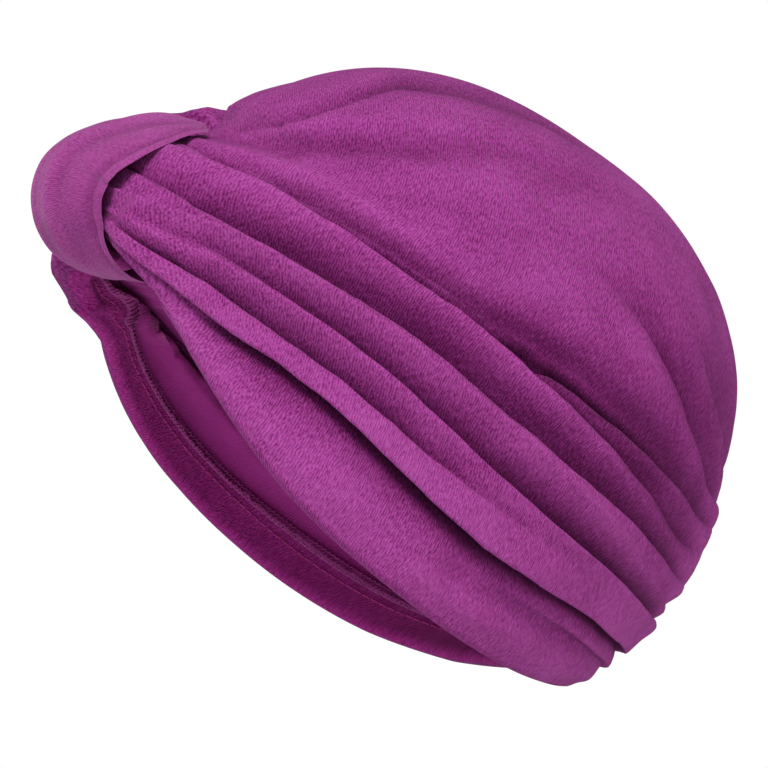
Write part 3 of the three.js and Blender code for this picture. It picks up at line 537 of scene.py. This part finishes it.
def cloth_coordinates(side):
    base_out = base(S_OUT, T_OUT)
    arc = lengths(base_out, 0)
    share = arc / arc[-1:]
    around = 262.0 * share
    across = lengths(grids[side][:, :OUT_N], 1)
    roll_v = across[:, -1:] + lengths(grids[side][:, OUT_N - 1 : OUT_N + ROLL_ROWS], 1)[:, 1:]
    roll_u = np.repeat(around[:, -1:], ROLL_ROWS, 1)
    inner = grids[side][:, OUT_N + ROLL_ROWS :]
    in_v = roll_v[:, -1:] + lengths(inner, 1)
    in_u = np.empty_like(in_v)
    for i in range(COLUMNS + 1):
        in_u[i] = np.interp(T_IN[i], T_OUT[i], around[i])
    u, v = np.concatenate([around, roll_u, in_u], 1), np.concatenate([across, roll_v, in_v], 1)
    return np.stack([u, v, 0.15 * grids[side][..., 0]], -1)


# painted shade and highlight by fold height: negative in hollows, positive on crests; the roll and inside rows get a
# fixed -0.2, a little painted shade
def painted_fold_shade(side):
    h = fold_height(S_OUT, T_OUT, side)
    out = np.clip((h - ease(T_OUT)) / 3.0, -1.2, 1)
    rest = np.zeros((COLUMNS + 1, ROLL_ROWS + IN_N))
    return np.concatenate([out, rest - 0.2], 1)


coords = {side: cloth_coordinates(side) for side in (1, -1)}
painted_fold_shades = {side: painted_fold_shade(side) for side in (1, -1)}
ids = {1: np.arange((COLUMNS + 1) * ALL_N).reshape(COLUMNS + 1, ALL_N)}
own = np.ones((COLUMNS + 1, ALL_N), bool)
own[[0, -1]] = False
own[:, [0, -1]] = False
ids[-1] = ids[1].copy()
ids[-1][own] = ids[1].size + np.arange(own.sum())


def weld(values):
    return np.concatenate([values[1].reshape(-1, *values[1].shape[2:]), values[-1][own]])


def quads_of(index, flip):
    a, b, c, d = index[:-1, :-1], index[:-1, 1:], index[1:, 1:], index[1:, :-1]
    q = np.stack([a, b, c, d] if not flip else [a, d, c, b], -1)
    return q.reshape(-1, 4)


crown_points = weld(grids)
crown_points[ids[1][0]] *= np.array([0, 1, 1])
crown_points[ids[1][-1]] *= np.array([0, 1, 1])
crown_points[ids[1][:, 0]] *= np.array([0, 1, 1])
crown_points[ids[1][:, -1]] *= np.array([0, 1, 1])
crown_faces = np.concatenate([quads_of(ids[1], True), quads_of(ids[-1], False)])
row_slot = np.zeros(ALL_N - 1, int)
row_slot[OUT_N + ROLL_ROWS + HEM_ROWS :] = 1
row_slot[OUT_N + ROLL_ROWS // 2 : OUT_N + ROLL_ROWS + HEM_ROWS] = 2
slots = np.tile(np.tile(row_slot, COLUMNS), 2)
crown = mesh_object("crown_cloth", crown_points, crown_faces, slots, (TERRY, JERSEY, LIGHTENED_HEM_TERRY), {"cloth": weld(coords), "ridge": weld(painted_fold_shades)})


# ---------- seam on the inside: overlock loops over the cut edge, and one line of straight stitches under it ----------
def ring_at(shift, above, count, phase=0.0, jitter=0.0, seed=3):
    """Points at an equal spacing round the inside; shift in mm from the hem's edge towards the rim."""
    fine = np.linspace(0, 1, 1200)
    out = []
    for side in (1, -1):
        top = along(HEM_TOP, fine) + shift / 170.0
        hem = np.ones_like(fine) if shift > 0.4 else np.full_like(fine, 0.0 if shift < -0.8 else 0.6)
        p = cloth(fine, top, side, True, above, hem)
        out.append(p if side > 0 else p[::-1])
    ring = np.concatenate([out[0][:-1], out[1][:-1]])
    closed = np.concatenate([ring, ring[:1]])
    arc = lengths(closed, 0)
    total = arc[-1]
    at = (np.arange(count) + phase) / count * total
    if jitter:
        at = at + np.random.default_rng(seed).normal(0, jitter, count)
    at = np.mod(at, total)
    return np.stack([np.interp(at, arc, closed[:, k]) for k in range(3)], -1), total


_, girth = ring_at(0.0, 0.5, 10)
LOOPS = int(girth / 1.7)
levels = [(-0.8, 0.35, 0.0), (-0.4, 1.0, 0.12), (0.2, 1.35, 0.3), (0.9, 1.3, 0.45), (1.5, 0.9, 0.55), (1.8, 0.25, 0.6)]
loop_paths = np.stack([ring_at(sh, ab, LOOPS, ph, 0.12, 3)[0] for sh, ab, ph in levels], 1)
inner_way = unit(ring_at(0.5, 2.0, LOOPS, 0.3)[0] - ring_at(0.5, 0.0, LOOPS, 0.3)[0])
loop_normals = np.repeat(inner_way[:, None], len(levels), 1)
bar_points, bar_faces = tubes(loop_paths, loop_normals, 0.25, 6)
# two chains: one on the cut edge, one on the hem
chains = []
for shift, above, phase in ((-0.6, 0.7, 0.0), (1.5, 0.7, 0.5)):
    n = LOOPS * 4
    ring, _ = ring_at(shift, above, n, phase, 0)
    wave = np.sin(np.arange(n) * math.pi / 2 + phase)[:, None] * 0.28
    upward = np.array([0, 0, 1.0])
    chains.append(ring + wave * upward)


def closed_tube(ring, radius, sides, normal):
    n = len(ring)
    tangent = unit(np.roll(ring, -1, 0) - np.roll(ring, 1, 0))
    side = unit(np.cross(tangent, normal))
    out = np.cross(side, tangent)
    a = 2 * np.pi * np.arange(sides) / sides
    pts = ring[:, None] + (side[:, None] * np.cos(a)[:, None] + out[:, None] * np.sin(a)[:, None]) * radius
    index = np.arange(n * sides).reshape(n, sides)
    nxt, over = np.roll(index, -1, 1), np.roll(index, -1, 0)
    over_nxt = np.roll(nxt, -1, 0)
    return pts.reshape(-1, 3), np.stack([index, nxt, over_nxt, over], -1).reshape(-1, 4).tolist()


# the seam's body: the raw edge under the loops
body_n = LOOPS * 2
body_rows = [(-0.7, 0.1), (-0.5, 0.7), (0.1, 1.05), (0.8, 1.05), (1.4, 0.7), (1.7, 0.1), (0.8, -0.3), (0.1, -0.3)]
wig = np.random.default_rng(5).normal(0, 0.14, body_n)
wig = (wig + np.roll(wig, 1) + np.roll(wig, -1))[:, None]
body_rings = np.stack([ring_at(sh, ab, body_n)[0] for sh, ab in body_rows], 1)
body_rings[:, 1:5] += wig[:, None] * np.array([0, 0, 1.0])
index = np.arange(body_n * len(body_rows)).reshape(body_n, len(body_rows))
nxt, over = np.roll(index, -1, 1), np.roll(index, -1, 0)
body_faces = np.stack([index, over, np.roll(nxt, -1, 0), nxt], -1).reshape(-1, 4).tolist()
parts, faces, start = [bar_points], list(bar_faces), len(bar_points)
for ring in chains:
    n = len(ring)
    normal = np.stack([np.interp(np.arange(n), np.arange(LOOPS) * n / LOOPS, inner_way[:, k], period=n) for k in range(3)], -1)
    p, f = closed_tube(ring, 0.3, 6, unit(normal))
    parts.append(p)
    faces += [[v + start for v in q] for q in f]
    start += len(p)
parts.append(body_rings.reshape(-1, 3))
faces += [[v + start for v in q] for q in body_faces]
seam = make_object("hem_seam_overlock", np.concatenate(parts), faces, OVERLOCK)

STITCHES = int(girth / 3.1)
reach_along = np.array([0.08, 0.2, 0.5, 0.8, 0.92])
rise = np.array([-0.45, 0.15, 0.3, 0.15, -0.45])
stitch_paths = np.stack([ring_at(3.9, r, STITCHES, a, 0)[0] for a, r in zip(reach_along, rise)], 1)
stitch_way = unit(ring_at(3.9, 2.0, STITCHES, 0.5)[0] - ring_at(3.9, 0.0, STITCHES, 0.5)[0])
sp, sf = tubes(stitch_paths, np.repeat(stitch_way[:, None], 5, 1), 0.3, 6)
stitches = make_object("hem_stitches", sp, sf, STITCH)

# ---------- loop ----------
keys = LOOP_ROWS
gaps = np.sqrt(np.linalg.norm(np.diff(keys[:, :2], axis=0), axis=1))
knots = np.concatenate([[0], np.cumsum(gaps)])


def through(rows, at):
    """Smooth line through the rows at the knots."""
    d = np.diff(rows, axis=0) / np.diff(knots)[:, None]
    m = np.empty_like(rows)
    m[0], m[-1] = d[0], d[-1]
    w = np.diff(knots)
    m[1:-1] = (d[:-1] * w[1:, None] + d[1:] * w[:-1, None]) / (w[1:] + w[:-1])[:, None]
    i = np.clip(np.searchsorted(knots, at, side="right") - 1, 0, len(knots) - 2)
    h = (knots[i + 1] - knots[i])[:, None]
    f = ((at - knots[i]) / (knots[i + 1] - knots[i]))[:, None]
    f2, f3 = f * f, f**3
    return (2 * f3 - 3 * f2 + 1) * rows[i] + (f3 - 2 * f2 + f) * h * m[i] + (3 * f2 - 2 * f3) * rows[i + 1] + (f3 - f2) * h * m[i + 1]


LENGTHWISE, ACROSS = 170, 44
line_at = np.linspace(knots[0], knots[-1], LENGTHWISE + 1)
rows = through(keys.astype(float), line_at)
line = np.stack([np.zeros(len(rows)), rows[:, 0], rows[:, 1]], -1)
line_arc = lengths(line, 0)
tangent = unit(np.gradient(line, axis=0))
inward = unit(np.stack([np.zeros(len(rows)), tangent[:, 2], -tangent[:, 1]], -1))
half, thick, curl = rows[:, 2:3], rows[:, 3:4], rows[:, 4:5]
u = np.linspace(-1, 1, ACROSS + 1)[None]
u = np.sign(u) * (1 - (1 - np.abs(u)) ** 1.35)
arc_n = line_arc[:, None] / line_arc[-1]
seen = smoothstep(arc_n, 0.22, 0.4) * (1 - smoothstep(arc_n, 0.93, 1.0))
# soft lengthwise wrinkles and the sewn double edge
wrinkle = (
    1.0 * np.exp(-(((u - 0.28 - 0.1 * np.sin(5 * arc_n)) / 0.13) ** 2))
    - 0.9 * np.exp(-(((u - 0.5 - 0.06 * np.sin(6 * arc_n + 1)) / 0.12) ** 2))
    + 0.8 * np.exp(-(((u + 0.34 + 0.08 * np.sin(4 * arc_n + 2)) / 0.15) ** 2))
    - 0.7 * np.exp(-(((u + 0.08 + 0.05 * np.sin(5 * arc_n + 3)) / 0.13) ** 2))
    + 0.35 * noise2(6 * u + 20 + 0 * arc_n, 9 * arc_n + 3 + 0 * u)
) * seen
edge = half * (1 - np.abs(u))
groove = 0.35 * np.exp(-(((edge - 1.1) / 0.6) ** 2)) - 0.85 * np.exp(-(((edge - 2.3) / 0.45) ** 2)) - 0.45 * np.exp(-(((edge - 3.5) / 0.35) ** 2))
outer_depth = thick * 0.5 * np.abs(u) ** 6 - wrinkle - groove * np.minimum(seen + 0.3, 1)
inner_depth = thick * (1 - 0.4 * np.abs(u) ** 6) + 0 * arc_n


def place(x_share, depth):
    p = line[:, None] + inward[:, None] * (depth + curl * x_share**2)[..., None]
    p[..., 0] = half * x_share
    return p


outer_face = place(u + 0 * half, outer_depth)
inner_face = place(u * 0.985 + 0 * half, inner_depth)
EDGE = 4
end_a, end_b = outer_face[:, -1], inner_face[:, -1]


def rounded(a, b, sign):
    mid, h = (a + b) / 2, (a - b) / 2
    out = np.array([sign, 0, 0.0]) * np.linalg.norm(h, axis=-1, keepdims=True)
    return np.stack([mid + h * math.cos(math.pi * k / (EDGE + 1)) + out * math.sin(math.pi * k / (EDGE + 1)) * 0.8 for k in range(1, EDGE + 1)], 1)


right_edge = rounded(outer_face[:, -1], inner_face[:, -1], 1)
left_edge = rounded(inner_face[:, 0], outer_face[:, 0], -1)
section = np.concatenate([outer_face, right_edge, inner_face[:, ::-1], left_edge], 1)
n_row, n_sec = section.shape[:2]
index = np.arange(n_row * n_sec).reshape(n_row, n_sec)
nxt = np.roll(index, -1, 1)
loop_faces = np.stack([index[:-1], nxt[:-1], nxt[1:], index[1:]], -1).reshape(-1, 4).tolist()
loop_points = section.reshape(-1, 3)
for end, flip in ((0, True), (n_row - 1, False)):
    ring = index[end].tolist()
    loop_faces.append(ring if not flip else ring[::-1])
around = np.concatenate([[0], np.cumsum(np.linalg.norm(np.diff(section[n_row // 2], axis=0), axis=1))])
loop_cloth = np.stack([np.repeat(line_arc[:, None], n_sec, 1), np.repeat(around[None], n_row, 0), 0.2 * section[..., 0]], -1)
# painted shade in the loop's grooves and wrinkle hollows, painted highlight on their crests
loop_painted_shade = np.zeros((n_row, n_sec))
loop_painted_shade[:, : ACROSS + 1] = np.clip(0.45 * wrinkle + groove * 0.9, -1, 1)
loop_mesh = bpy.data.meshes.new("front_loop_band")
loop_mesh.from_pydata((loop_points * MM).tolist(), [], loop_faces)
loop_mesh.update()
loop_mesh.polygons.foreach_set("use_smooth", np.ones(len(loop_mesh.polygons), bool))
loop_mesh.attributes.new("cloth", "FLOAT_VECTOR", "POINT").data.foreach_set("vector", loop_cloth.reshape(-1, 3).astype(np.float32).ravel())
loop_mesh.attributes.new("ridge", "FLOAT", "POINT").data.foreach_set("value", loop_painted_shade.astype(np.float32).ravel())
loop_mesh.materials.append(LOOP_TERRY)
band = bpy.data.objects.new("front_loop_band", loop_mesh)
bpy.context.scene.collection.objects.link(band)

# ---------- what each piece stands for ----------
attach(crown, "root")
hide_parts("crown")
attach(seam, "root")
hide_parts("hem_seam")
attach(stitches, "root")
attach(band, "root")
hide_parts("front_loop")

# ---------- floor, light ----------
floor_mesh = bpy.data.meshes.new("floor")
ring = [(3 * math.cos(a), 3 * math.sin(a), -0.30) for a in np.linspace(0, 2 * math.pi, 96, endpoint=False)]
floor_mesh.from_pydata(ring, [], [list(range(96))])
floor = bpy.data.objects.new("floor", floor_mesh)
bpy.context.scene.collection.objects.link(floor)
pale = bpy.data.materials.new("floor_pale")
pale.use_nodes = True
pale.node_tree.nodes["Principled BSDF"].inputs["Base Color"].default_value = (0.9, 0.9, 0.9, 1)
pale.node_tree.nodes["Principled BSDF"].inputs["Roughness"].default_value = 0.9
floor_mesh.materials.append(pale)

world = bpy.data.worlds.new("studio")
bpy.context.scene.world = world
world.use_nodes = True
tree = world.node_tree
tree.nodes.clear()
light_path = tree.nodes.new("ShaderNodeLightPath")
seen_white = tree.nodes.new("ShaderNodeBackground")
seen_white.inputs[0].default_value, seen_white.inputs[1].default_value = (1, 1, 1, 1), 1.0
fill = tree.nodes.new("ShaderNodeBackground")
fill.inputs[0].default_value, fill.inputs[1].default_value = (1, 1, 1, 1), 0.36
mixer = tree.nodes.new("ShaderNodeMixShader")
world_out = tree.nodes.new("ShaderNodeOutputWorld")
tree.links.new(light_path.outputs["Is Camera Ray"], mixer.inputs[0])
tree.links.new(fill.outputs[0], mixer.inputs[1])
tree.links.new(seen_white.outputs[0], mixer.inputs[2])
tree.links.new(mixer.outputs[0], world_out.inputs[0])

CENTRE = Vector((0, -0.012, 0.062))


def softbox(name, to_right, to_up, to_camera, size, watts, distance=1.1):
    way = (right * to_right + up * to_up + back * to_camera).normalized()
    data = bpy.data.lights.new(name, "AREA")
    data.shape, data.size, data.energy = "DISK", size, watts
    lamp = bpy.data.objects.new(name, data)
    bpy.context.scene.collection.objects.link(lamp)
    lamp.location = CENTRE + way * distance
    lamp.rotation_mode = "QUATERNION"
    lamp.rotation_quaternion = way.to_track_quat("Z", "Y")
    return lamp


softbox("key_softbox", -0.3, 0.95, 0.75, 0.42, 11)
softbox("side_fill", 0.95, -0.1, 0.55, 1.0, 12, 1.5)
bpy.context.scene.view_settings.view_transform = "Standard"
